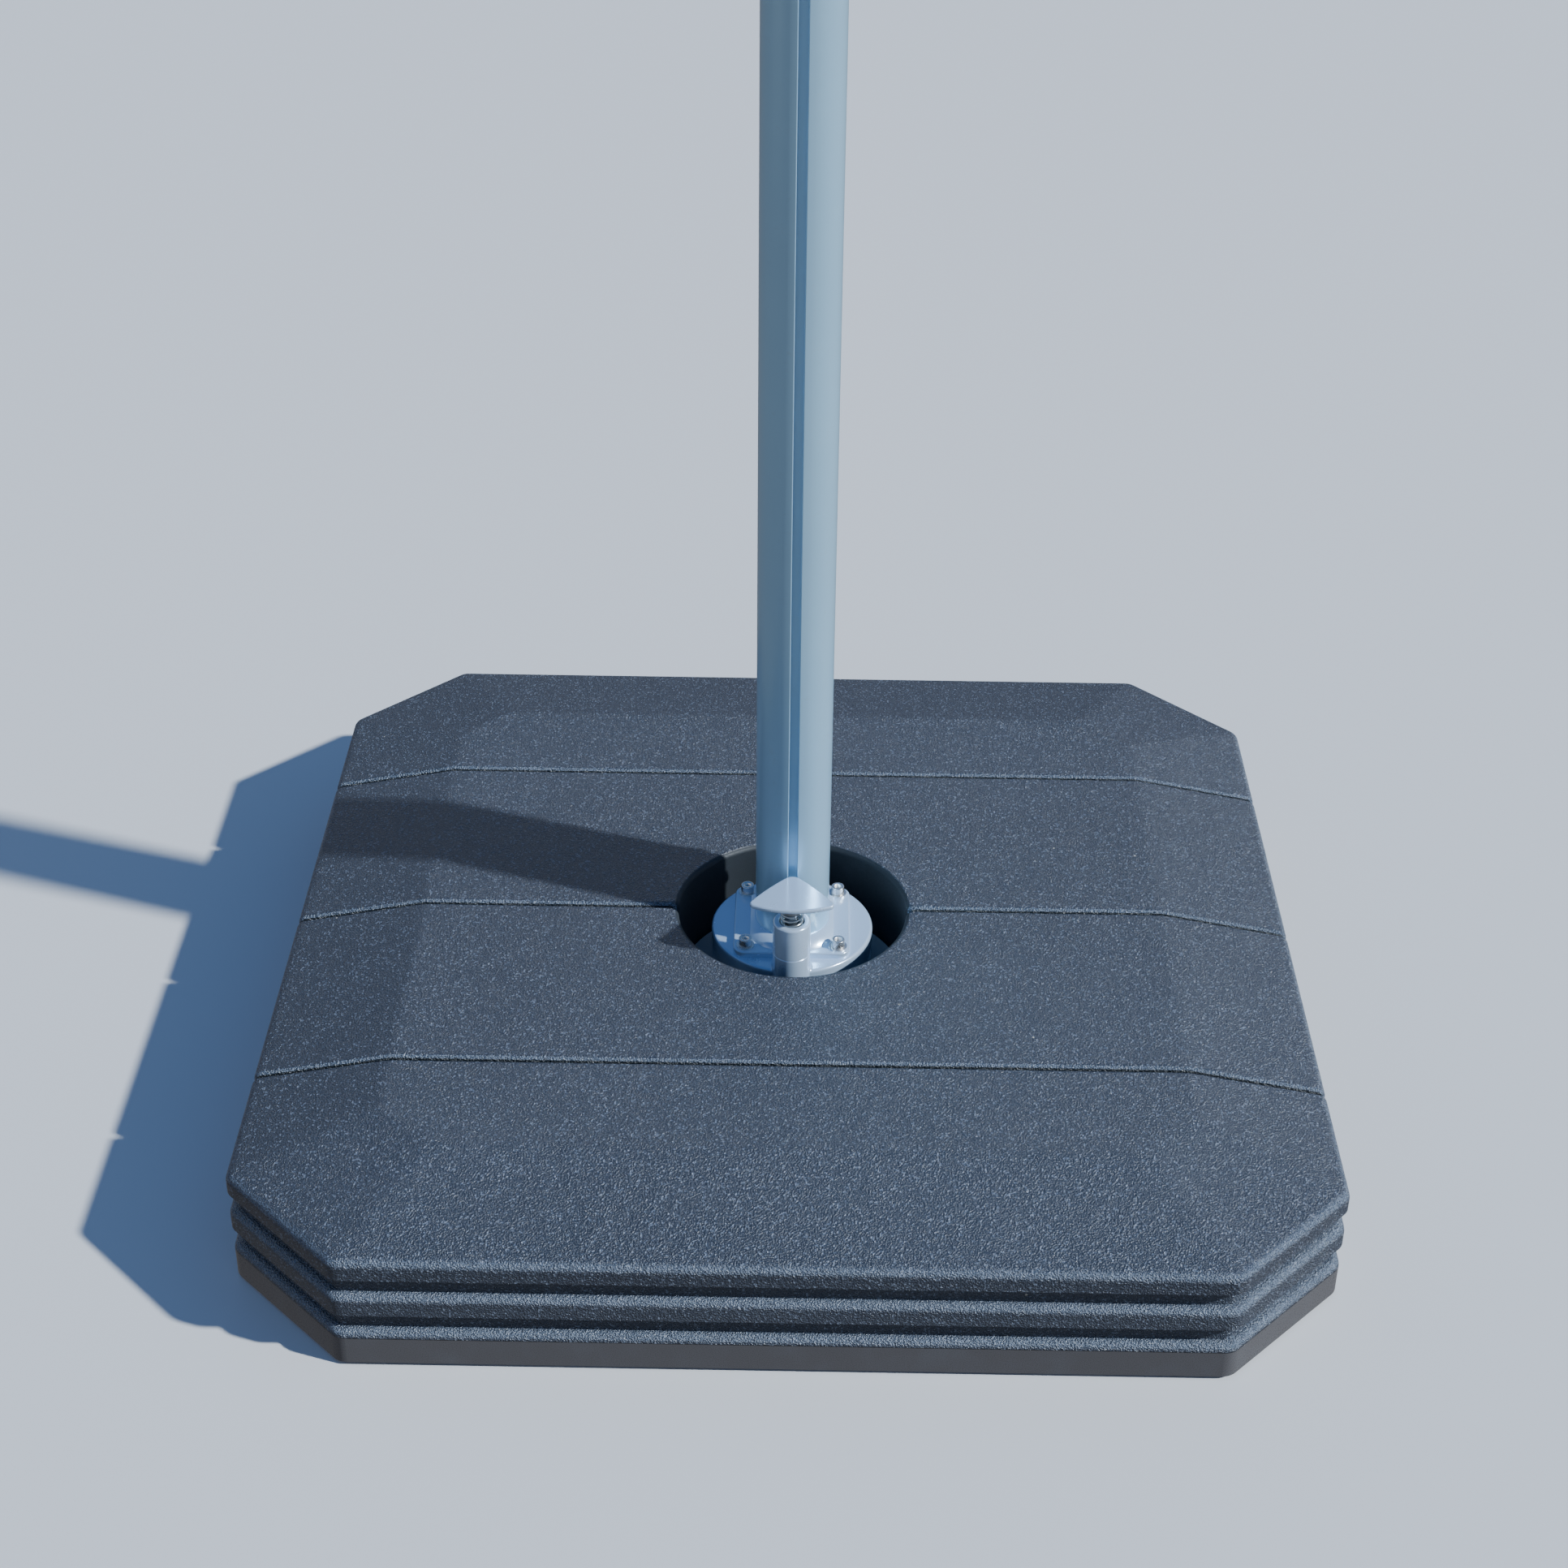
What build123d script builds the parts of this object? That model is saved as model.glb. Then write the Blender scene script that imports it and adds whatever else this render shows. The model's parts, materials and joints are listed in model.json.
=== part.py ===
# Weighted base of a cantilever parasol: four filled slabs on a steel cross foot,
# with a braked turntable, its release pedal and the lower mast.
# Millimetres, +Z up, origin on the ground under the mast. The pedal faces -Y.
from build123d import *
from math import cos, hypot, radians, sin, sqrt
import os

os.makedirs("parts", exist_ok=True)

# Ballast slabs
base_width = 1000.0        # across the flats of the four slabs together
corner_cut = 110.0         # leg of each cut corner
corner_radius = 18.0       # upright corners of the outline
slab_count = 4
slab_gap = 3.0             # open seam between two slabs
rim_height = 120.0         # where the sloped border meets the rim
plateau_height = 145.0     # flat top
slope_width = 130.0        # plan width of the sloped border
plateau_cut = 50.0         # leg of the flat top's cut corners
hip_radius = 40.0          # soft line between slope and flat top
rim_radius = 10.0
ridge_radius = 8.0         # shoulders of the two lower ridges
seam_radius = 5.0          # edges along the seams and round the well
groove_depth = 9.0
groove_height = 19.0
groove_floors = (81.0, 40.0)
slab_wall = 4.0
pad_height = 4.0           # moulded ground pads under the slabs
pad_length = 80.0
pad_depth = 50.0
pad_inset = 5.0            # from a slab's long edge to its pads
pad_pitch = 320.0
plug_pitch = 460.0         # between the two filler holes of a slab
plug_radius = 20.0
plug_flange = 3.0          # flange beyond the plug's body, all round
plug_flange_height = 2.0
plug_length = 12.0
plug_boss_height = 16.0    # solid floor round each filler hole

# Well in the middle of the base
well_radius = 114.0
well_corner_radius = 10.0

# Cross foot
arm_size = 50.0
arm_wall = 3.0
arm_edge_radius = 4.0
arm_reach = 560.0          # from the centre to an arm's open end
arm_clearance = 2.0        # each side of an arm in its channel
foot_height = 4.0
foot_radius = 18.0
foot_stem_radius = 5.0
foot_stem_height = 6.0
foot_inset = 40.0          # from an arm's open end to the middle of its rubber foot
cap_plate = 3.0
cap_depth = 15.0
cap_wall = 2.5
cap_fit = 0.2              # between a cap's plug and the tube
hub_plate_thickness = 6.0
hub_plate_gap = 2.0        # between the hub plate and the well's wall

# Fixed pillar, brake disc, spindle and bearing
pillar_flange_radius = 62.0
pillar_flange_thickness = 8.0
pillar_radius = 36.0
pillar_nose_radius = 21.0
pillar_nose_rise = 3.0     # above the brake disc
brake_disc_lift = 30.0     # from the hub plate to the disc's underside
brake_disc_radius = 62.0
brake_disc_thickness = 6.0
disc_screw_ring_radius = 28.0
disc_screw_radius = 3.0
disc_screw_head = 5.8
disc_screw_length = 18.0
pillar_bolt_ring_radius = 50.0
pillar_bolt_radius = 5.0
pillar_bolt_flats = 17.0
pillar_bolt_head = 6.4
pillar_bolt_grip = 12.0
spindle_radius = 12.4
spindle_thread_radius = 10.0
spindle_thread_length = 20.0
spindle_floor = 4.0        # solid pillar left under the spindle
running_clearance = 0.05   # radial, between the spindle and its bush
bush_wall = 3.0
race_thickness = 3.5
race_gap = 4.0
bearing_bore = 12.5
bearing_radius = 21.0
ball_radius = 3.0
ball_count = 12
ball_clearance = 0.1
cage_thickness = 1.5
nut_flats = 30.0
nut_height = 16.0
spindle_washer_radius = 20.0
spindle_washer_thickness = 3.0
nut_gap = 0.1

# Turntable and mast flange
turntable_radius = 81.0
turntable_thickness = 14.0
skirt_wall = 6.0
skirt_gap = 6.0            # from the hub plate up to the skirt
turntable_edge_radius = 3.0
flange_width = 116.0
flange_thickness = 6.0
flange_corner_radius = 12.0
flange_edge_radius = 1.5
flange_bore = 24.0
collar_height = 9.5
collar_lip = 1.0           # collar's top beyond the mast, all round
collar_nose = 13.5         # how far the collar flares out in front of the mast
collar_side = 5.0          # and beside it
spigot_length = 110.0
spigot_wall = 6.0
spigot_clearance = 0.3
flange_screw_pitch = 92.0
flange_screw_radius = 4.0
flange_screw_head_radius = 6.5
flange_screw_head_height = 8.0
flange_screw_socket = 6.0
flange_screw_socket_depth = 4.0
flange_screw_depth = 11.0  # thread in the turntable
flange_washer_radius = 9.0
flange_washer_thickness = 1.6
screw_hole_clearance = 0.5

# Mast
mast_radius = 36.5         # rounded front and back of the oblong section
mast_flat = 36.0           # length of its flat sides
mast_setback = 11.5        # from the turntable's axis back to the mast's middle
mast_wall = 2.5
mast_top = 1240.0
mast_groove_width = 8.6
mast_groove_depth = 8.0
mast_groove_wall = 2.2
mast_groove_lip_radius = 0.8
mast_screw_heights = (30.0, 80.0)   # above the mast's lower end
mast_screw_radius = 4.0
mast_screw_head_radius = 7.0
mast_screw_head_height = 4.0
mast_screw_socket = 5.0
mast_screw_seat = 0.8      # depth of the flat under each head
liner_bore = 22.0
liner_length = 40.0
liner_rim = 3.0
liner_fit = 0.2
groove_relief = 0.5        # between the mast's groove and what it passes

# Release pedal
pedal_offset = 73.0        # from the mast's axis to the stem
boss_radius = 18.5
boss_height = 20.0         # cast boss above the turntable
boss_fillet = 3.0
seam_chamfer = 0.5         # on both sides of the seam between boss and sleeve
sleeve_length = 37.0
sleeve_bore = 12.25
sleeve_edge_radius = 2.5
sleeve_mouth_radius = 1.2
guide_radius = 9.0
guide_flange_height = 2.0
guide_flange_radius = 12.0
stem_radius = 6.0
stem_thread_radius = 5.0
stem_collar_radius = 10.0
spring_wire = 2.5
spring_radius = 10.2       # to the middle of the wire
spring_height = 46.5
spring_turns = 7.5
pedal_thickness = 5.0
pedal_clearance = 27.0     # from the sleeve's mouth up to the pedal plate
pedal_width = 85.5         # across the front corners before they are rounded
pedal_front = 29.0         # front of the plate, from the stem
pedal_shoulder = 18.5      # front corners, from the stem
pedal_tip = 32.5           # rear corner before it is rounded, from the stem
pedal_side_bulge = 2.5
pedal_corner_radius = 5.0
pedal_tip_radius = 9.0
pedal_edge_radius = 1.8
chamber_wall = 4.0         # of the boss round the brake claw
chamber_gap = 2.0          # above the brake disc
boss_gap = 1.0             # between the mast flange and the pedal boss
claw_thickness = 9.0
claw_width = 22.0
claw_reach = 28.0          # from the stem towards the mast
pad_thickness = 2.0
pad_width = 20.0
pad_margin = 1.0
pad_run = 15.0
brake_gap = 0.3
stem_nut_flats = 16.0
stem_nut_height = 6.0

# Heights and radii worked out from the sizes above
half_width = base_width / 2
slab_pitch = base_width / slab_count
arm_top = foot_height + arm_size
foot_reach = arm_reach - foot_inset
hub_plate_top = arm_top + hub_plate_thickness
hub_plate_radius = well_radius - hub_plate_gap
brake_disc_bottom = hub_plate_top + brake_disc_lift
brake_disc_top = brake_disc_bottom + brake_disc_thickness
pillar_top = brake_disc_top + pillar_nose_rise
turntable_bottom = pillar_top + 2 * race_thickness + race_gap
turntable_top = turntable_bottom + turntable_thickness
skirt_bottom = hub_plate_top + skirt_gap
flange_top = turntable_top + flange_thickness
mast_bottom = flange_top + collar_height
boss_top = turntable_top + boss_height
spring_seat = boss_top + guide_flange_height
sleeve_top = boss_top + sleeve_length
pedal_bottom = sleeve_top + pedal_clearance
claw_top = brake_disc_bottom - brake_gap - pad_thickness
claw_bottom = claw_top - claw_thickness
chamber_top = brake_disc_top + chamber_gap
chamber_radius = boss_radius - chamber_wall
nut_bottom = turntable_top + spindle_washer_thickness + nut_gap
mast_nose = mast_setback - mast_flat / 2     # middle of the rounded front
mast_front = mast_nose - mast_radius
mast_back = mast_setback + mast_flat / 2 + mast_radius
spigot_inset = mast_wall + spigot_clearance
groove_box_width = mast_groove_width + 2 * mast_groove_wall
groove_box_depth = mast_groove_depth + mast_groove_wall
channel_width = arm_size + 2 * arm_clearance
channel_reach = arm_reach + cap_plate + 2 * arm_clearance
arm_angles = (45, 135, 225, 315)
stem_place = (0, -pedal_offset)
flange_screw_places = [(x * flange_screw_pitch / 2, y * flange_screw_pitch / 2)
                       for x in (-1, 1) for y in (-1, 1)]
small = 0.1                # tolerance for picking edges by their place


def octagon(width, cut):
    # Corners of a square with cut corners, in order round the outline
    half = width / 2
    corners = []
    for turn in range(4):
        c, s = cos(radians(90 * turn)), sin(radians(90 * turn))
        for x, y in ((half, cut - half), (half, half - cut)):
            corners.append((x * c - y * s, x * s + y * c))
    return corners


def draw_oblong(inset, mode=Mode.ADD):
    # The mast's section, smaller by the inset all round
    with Locations((0, mast_setback)):
        SlotCenterToCenter(mast_flat, 2 * (mast_radius - inset), rotation=90, mode=mode)


def footprint(inset):
    # Rounded outline of the whole base
    with BuildSketch() as outline:
        with BuildLine():
            Polyline(*octagon(base_width, corner_cut), close=True)
        make_face()
        fillet(outline.vertices(), radius=corner_radius)
        if inset:
            offset(amount=-inset)
    return outline.sketch


def draw_slab(inset, low, high):
    # One slab's share of the outline, for the sketch that is open
    add(footprint(inset))
    with Locations((0, (low + high) / 2)):
        Rectangle(2 * base_width, high - low, mode=Mode.INTERSECT)


def draw_cross(width, reach, mode=Mode.ADD):
    # Both diagonals of the cross foot
    for angle in arm_angles[:2]:
        with Locations(Location((0, 0, 0), angle)):
            Rectangle(2 * reach, width, mode=mode)


def cut_slopes(drop):
    # Takes the part that is open down to the four slopes and the four corner facets
    top, rim = plateau_height - drop, rim_height - drop
    for step in range(8):
        if step % 2 == 0:
            outer, inner = half_width, half_width - slope_width
        else:
            outer = (2 * half_width - corner_cut) / sqrt(2)
            inner = (2 * (half_width - slope_width) - plateau_cut) / sqrt(2)
        beyond = outer + slope_width
        foot = rim - slope_width * (top - rim) / (outer - inner)
        angle = radians(45 * step)
        upright = Plane(origin=(0, 0, 0), x_dir=(cos(angle), sin(angle), 0),
                        z_dir=(sin(angle), -cos(angle), 0))
        with BuildSketch(upright) as above:
            with BuildLine():
                Polyline((inner, top), (beyond, foot), (beyond, 2 * top), (inner, 2 * top),
                         close=True)
            make_face()
        extrude(above.sketch, amount=base_width, both=True, mode=Mode.SUBTRACT)


def slab_limits(index):
    # Front and back of a slab, with its half of each open seam taken off
    low = -half_width + index * slab_pitch
    high = low + slab_pitch
    if index > 0:
        low += slab_gap / 2
    if index < slab_count - 1:
        high -= slab_gap / 2
    return low, high


def from_axis(edge):
    middle = edge.position_at(0.5)
    return hypot(middle.X, middle.Y)


def is_level(edge, height):
    return all(abs(edge.position_at(t).Z - height) < small for t in (0, 0.5, 1))


def on_outline(edge):
    # On the outer faces of the base, or on their rounded shoulders
    middle = edge.position_at(0.5)
    beyond_cut = abs(middle.X) + abs(middle.Y) - (2 * half_width - corner_cut)
    beyond_side = max(abs(middle.X), abs(middle.Y)) - half_width
    return max(beyond_side, beyond_cut) > -groove_depth / 2


def on_seam(edge, seams):
    points = [edge.position_at(t) for t in (0, 0.5, 1)]
    return any(all(abs(p.Y - seam) < small for p in points) for seam in seams)


def on_skin(edge):
    # On the top of a slab, or running up its outer face
    height = edge.position_at(0.5).Z
    if height > rim_height - rim_radius:
        return True
    return on_outline(edge) and not is_level(edge, height)


# Ballast slabs: moulded shells, each filled with concrete through two plugged holes
slab_names = ("front", "front_middle", "rear_middle", "rear")
for index, name in enumerate(slab_names):
    low, high = slab_limits(index)
    seams = [y for y in (low, high) if abs(y) < half_width - small]
    middle = (low + high) / 2
    has_well = min(abs(low), abs(high)) < well_radius
    plug_places = [(side * plug_pitch / 2, middle) for side in (-1, 1)]

    with BuildPart() as fill:
        fill_low = low + slab_wall if low in seams else low
        fill_high = high - slab_wall if high in seams else high
        with BuildSketch(Plane.XY.offset(pad_height + slab_wall)):
            draw_slab(groove_depth + slab_wall, fill_low, fill_high)
        extrude(amount=plateau_height - pad_height - 2 * slab_wall)
        cut_slopes(slab_wall)
        with BuildSketch():
            draw_cross(channel_width + 2 * slab_wall, channel_reach + slab_wall)
        extrude(amount=arm_top + slab_wall, mode=Mode.SUBTRACT)
        if has_well:
            with BuildSketch():
                Circle(well_radius + slab_wall)
            extrude(amount=plateau_height, mode=Mode.SUBTRACT)
        with BuildSketch():
            with Locations(*plug_places):
                Circle(plug_radius + slab_wall)
        extrude(amount=pad_height + plug_boss_height, mode=Mode.SUBTRACT)
    fill.part.label = f"{name}_slab_fill"
    export_step(fill.part, f"parts/{name}_slab_fill.step")

    with BuildPart() as shell:
        with BuildSketch(Plane.XY.offset(pad_height)):
            draw_slab(0, low, high)
        extrude(amount=plateau_height - pad_height)
        cut_slopes(0)
        if has_well:
            with BuildSketch():
                Circle(well_radius)
            extrude(amount=plateau_height, mode=Mode.SUBTRACT)
            corners = shell.edges().filter_by(Axis.Z).filter_by(
                lambda e: from_axis(e) < well_radius + slab_gap)
            fillet(corners, radius=well_corner_radius)

        # Soft lines between the slopes and the flat top
        hips = shell.edges().filter_by(
            lambda e: e.center().Z > rim_height + (plateau_height - rim_height) / 4
            and from_axis(e) > well_radius + 2 * well_corner_radius
            and not on_seam(e, seams))
        fillet(hips, radius=hip_radius)

        # Two grooves run round the outer faces and leave three ridges
        for floor in groove_floors:
            with BuildSketch(Plane.XY.offset(floor)):
                Rectangle(2 * base_width, 2 * base_width)
                add(footprint(groove_depth), mode=Mode.SUBTRACT)
            extrude(amount=groove_height, mode=Mode.SUBTRACT)
        rim = shell.edges().filter_by(
            lambda e: abs(e.center().Z - rim_height) < rim_radius / 4
            and on_outline(e) and not on_seam(e, seams))
        fillet(rim, radius=rim_radius)
        for floor in groove_floors:
            shoulder = shell.edges().filter_by(
                lambda e: is_level(e, floor) and on_outline(e) and not on_seam(e, seams))
            fillet(shoulder, radius=ridge_radius)

        # Edges along the seams, up the slab's ends and round the well
        seam_edges = shell.edges().filter_by(
            lambda e: (on_seam(e, seams) and on_skin(e))
            or (is_level(e, plateau_height) and from_axis(e) < well_radius + well_corner_radius))
        fillet(seam_edges, radius=seam_radius)

        # Ground pads, channels for the arms, the hollow and the filler holes
        with BuildSketch():
            for y in (low + pad_inset + pad_depth / 2, high - pad_inset - pad_depth / 2):
                with Locations(*[(x * pad_pitch, y) for x in (-1, 0, 1)]):
                    RectangleRounded(pad_length, pad_depth, pad_inset)
            Circle(well_radius, mode=Mode.SUBTRACT)
            draw_cross(channel_width, channel_reach, mode=Mode.SUBTRACT)
        extrude(amount=pad_height)
        with BuildSketch():
            draw_cross(channel_width, channel_reach)
        extrude(amount=arm_top, mode=Mode.SUBTRACT)
        add(fill.part, mode=Mode.SUBTRACT)
        with BuildSketch():
            with Locations(*plug_places):
                Circle(plug_radius)
        extrude(amount=pad_height + plug_boss_height, mode=Mode.SUBTRACT)
        with BuildSketch():
            with Locations(*plug_places):
                Circle(plug_radius + plug_flange)
        extrude(amount=pad_height + plug_flange_height, mode=Mode.SUBTRACT)
    shell.part.label = f"{name}_slab_shell"
    export_step(shell.part, f"parts/{name}_slab_shell.step")

    with BuildPart() as plugs:
        with BuildSketch(Plane.XY.offset(pad_height)):
            with Locations(*plug_places):
                Circle(plug_radius + plug_flange)
        extrude(amount=plug_flange_height)
        with BuildSketch(Plane.XY.offset(pad_height + plug_flange_height)):
            with Locations(*plug_places):
                Circle(plug_radius)
        extrude(amount=plug_length - plug_flange_height)
    plugs.part.label = f"{name}_slab_plugs"
    export_step(plugs.part, f"parts/{name}_slab_plugs.step")


# Cross foot: one whole arm and two half arms welded to its sides
def arm_plane(angle, distance):
    # Upright plane across an arm, facing outwards
    a = radians(angle)
    return Plane(origin=(distance * cos(a), distance * sin(a), foot_height + arm_size / 2),
                 x_dir=(-sin(a), cos(a), 0), z_dir=(cos(a), sin(a), 0))


def foot_places(angles):
    return [(foot_reach * cos(radians(a)), foot_reach * sin(radians(a))) for a in angles]


def draw_tube():
    RectangleRounded(arm_size, arm_size, arm_edge_radius)
    Rectangle(arm_size - 2 * arm_wall, arm_size - 2 * arm_wall, mode=Mode.SUBTRACT)


def drill_foot_holes(angles):
    with BuildSketch() as holes:
        with Locations(*foot_places(angles)):
            Circle(foot_stem_radius)
    extrude(holes.sketch, amount=foot_height + 2 * arm_wall, mode=Mode.SUBTRACT)


with BuildPart() as long_arm:
    with BuildSketch(arm_plane(45, 0)):
        draw_tube()
    extrude(amount=arm_reach, both=True)
    drill_foot_holes((45, 225))
long_arm.part.label = "long_arm"
export_step(long_arm.part, "parts/long_arm.step")

for name, angle in (("rear_left_arm", 135), ("front_right_arm", 315)):
    with BuildPart() as half_arm:
        with BuildSketch(arm_plane(angle, arm_size / 2)):
            draw_tube()
        extrude(amount=arm_reach - arm_size / 2)
        drill_foot_holes((angle,))
    half_arm.part.label = name
    export_step(half_arm.part, f"parts/{name}.step")

with BuildPart() as arm_end_caps:
    plug_width = arm_size - 2 * arm_wall - 2 * cap_fit
    for angle in arm_angles:
        with BuildSketch(arm_plane(angle, arm_reach)):
            RectangleRounded(arm_size, arm_size, arm_edge_radius)
        extrude(amount=cap_plate)
        with BuildSketch(arm_plane(angle, arm_reach)):
            Rectangle(plug_width, plug_width)
            Rectangle(plug_width - 2 * cap_wall, plug_width - 2 * cap_wall, mode=Mode.SUBTRACT)
        extrude(amount=-cap_depth)
arm_end_caps.part.label = "arm_end_caps"
export_step(arm_end_caps.part, "parts/arm_end_caps.step")

with BuildPart() as rubber_feet:
    with BuildSketch():
        with Locations(*foot_places(arm_angles)):
            Circle(foot_radius)
    extrude(amount=foot_height)
    with BuildSketch(Plane.XY.offset(foot_height)):
        with Locations(*foot_places(arm_angles)):
            Circle(foot_stem_radius)
    extrude(amount=foot_stem_height)
rubber_feet.part.label = "rubber_feet"
export_step(rubber_feet.part, "parts/rubber_feet.step")

# Hub plate: welded on the arms, and the floor of the well
with BuildPart() as hub_plate:
    with BuildSketch(Plane.XY.offset(arm_top)):
        Circle(hub_plate_radius)
        with PolarLocations(pillar_bolt_ring_radius, 4):
            Circle(pillar_bolt_radius, mode=Mode.SUBTRACT)
    extrude(amount=hub_plate_thickness)
hub_plate.part.label = "hub_plate"
export_step(hub_plate.part, "parts/hub_plate.step")

# Fixed pillar with the brake disc screwed down round its nose
with BuildPart() as hub_pillar:
    with BuildSketch(Plane.XY.offset(hub_plate_top)):
        Circle(pillar_flange_radius)
    extrude(amount=pillar_flange_thickness)
    with BuildSketch(Plane.XY.offset(hub_plate_top)):
        Circle(pillar_radius)
    extrude(amount=brake_disc_lift)
    with BuildSketch(Plane.XY.offset(brake_disc_bottom)):
        Circle(pillar_nose_radius)
    extrude(amount=pillar_top - brake_disc_bottom)
    with BuildSketch(Plane.XY.offset(hub_plate_top + spindle_floor)):
        Circle(spindle_radius)
    extrude(amount=pillar_top - hub_plate_top, mode=Mode.SUBTRACT)
    with BuildSketch(Plane.XY.offset(hub_plate_top)):
        with PolarLocations(pillar_bolt_ring_radius, 4):
            Circle(pillar_bolt_radius)
    extrude(amount=pillar_bolt_grip - hub_plate_thickness, mode=Mode.SUBTRACT)
    with BuildSketch(Plane.XY.offset(brake_disc_top - disc_screw_length)):
        with PolarLocations(disc_screw_ring_radius, 4, start_angle=45):
            Circle(disc_screw_radius)
    extrude(amount=disc_screw_length, mode=Mode.SUBTRACT)
hub_pillar.part.label = "hub_pillar"
export_step(hub_pillar.part, "parts/hub_pillar.step")

with BuildPart() as pillar_bolts:
    with BuildSketch(Plane.XY.offset(arm_top - pillar_bolt_head)):
        with PolarLocations(pillar_bolt_ring_radius, 4):
            RegularPolygon(pillar_bolt_flats / 2, 6, major_radius=False)
    extrude(amount=pillar_bolt_head)
    with BuildSketch(Plane.XY.offset(arm_top)):
        with PolarLocations(pillar_bolt_ring_radius, 4):
            Circle(pillar_bolt_radius)
    extrude(amount=pillar_bolt_grip)
pillar_bolts.part.label = "pillar_bolts"
export_step(pillar_bolts.part, "parts/pillar_bolts.step")

with BuildPart() as brake_disc:
    with BuildSketch(Plane.XY.offset(brake_disc_bottom)):
        Circle(brake_disc_radius)
        Circle(pillar_nose_radius, mode=Mode.SUBTRACT)
    extrude(amount=brake_disc_thickness)
    with Locations(Plane.XY.offset(brake_disc_top)):
        with PolarLocations(disc_screw_ring_radius, 4, start_angle=45):
            CounterSinkHole(disc_screw_radius, disc_screw_head, counter_sink_angle=90)
brake_disc.part.label = "brake_disc"
export_step(brake_disc.part, "parts/brake_disc.step")

with BuildPart() as brake_disc_screws:
    head_depth = disc_screw_head - disc_screw_radius
    with BuildSketch(Plane.XY.offset(brake_disc_top - disc_screw_length)):
        with PolarLocations(disc_screw_ring_radius, 4, start_angle=45):
            Circle(disc_screw_radius)
    extrude(amount=disc_screw_length - head_depth)
    with Locations(Plane.XY.offset(brake_disc_top - head_depth)):
        with PolarLocations(disc_screw_ring_radius, 4, start_angle=45):
            Cone(disc_screw_radius, disc_screw_head, head_depth,
                 align=(Align.CENTER, Align.CENTER, Align.MIN))
brake_disc_screws.part.label = "brake_disc_screws"
export_step(brake_disc_screws.part, "parts/brake_disc_screws.step")

with BuildPart() as spindle:
    with BuildSketch(Plane.XY.offset(hub_plate_top + spindle_floor)):
        Circle(spindle_radius)
    extrude(amount=nut_bottom - hub_plate_top - spindle_floor)
    with BuildSketch(Plane.XY.offset(nut_bottom)):
        Circle(spindle_thread_radius)
    extrude(amount=spindle_thread_length)
    chamfer(spindle.edges().sort_by(Axis.Z)[-1], length=spindle_floor / 4)
spindle.part.label = "spindle"
export_step(spindle.part, "parts/spindle.step")

with BuildPart() as spindle_nut:
    with BuildSketch(Plane.XY.offset(nut_bottom)):
        RegularPolygon(nut_flats / 2, 6, major_radius=False)
        Circle(spindle_thread_radius, mode=Mode.SUBTRACT)
    extrude(amount=nut_height)
spindle_nut.part.label = "spindle_nut"
export_step(spindle_nut.part, "parts/spindle_nut.step")

# Thrust bearing between the pillar's nose and the turntable
ball_circle = (bearing_bore + bearing_radius) / 2
ball_height = pillar_top + race_thickness + race_gap / 2


def turn_race(bottom):
    # A flat ring with a shallow round track for the balls
    with BuildSketch(Plane.XZ) as section:
        with Locations((ball_circle, bottom + race_thickness / 2)):
            Rectangle(bearing_radius - bearing_bore, race_thickness)
        with Locations((ball_circle, ball_height)):
            Circle(ball_radius + ball_clearance, mode=Mode.SUBTRACT)
    revolve(section.sketch, axis=Axis.Z)


with BuildPart() as bearing_lower_race:
    turn_race(pillar_top)
bearing_lower_race.part.label = "bearing_lower_race"
export_step(bearing_lower_race.part, "parts/bearing_lower_race.step")

with BuildPart() as bearing_upper_race:
    turn_race(turntable_bottom - race_thickness)
bearing_upper_race.part.label = "bearing_upper_race"
export_step(bearing_upper_race.part, "parts/bearing_upper_race.step")

with BuildPart() as bearing_balls:
    with Locations(Plane.XY.offset(ball_height)):
        with PolarLocations(ball_circle, ball_count):
            Sphere(ball_radius)
bearing_balls.part.label = "bearing_balls"
export_step(bearing_balls.part, "parts/bearing_balls.step")

with BuildPart() as bearing_cage:
    with BuildSketch(Plane.XY.offset(ball_height - cage_thickness / 2)):
        Circle(bearing_radius - ball_clearance)
        Circle(bearing_bore + ball_clearance, mode=Mode.SUBTRACT)
        with PolarLocations(ball_circle, ball_count):
            Circle(ball_radius + ball_clearance, mode=Mode.SUBTRACT)
    extrude(amount=cage_thickness)
bearing_cage.part.label = "bearing_cage"
export_step(bearing_cage.part, "parts/bearing_cage.step")

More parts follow.
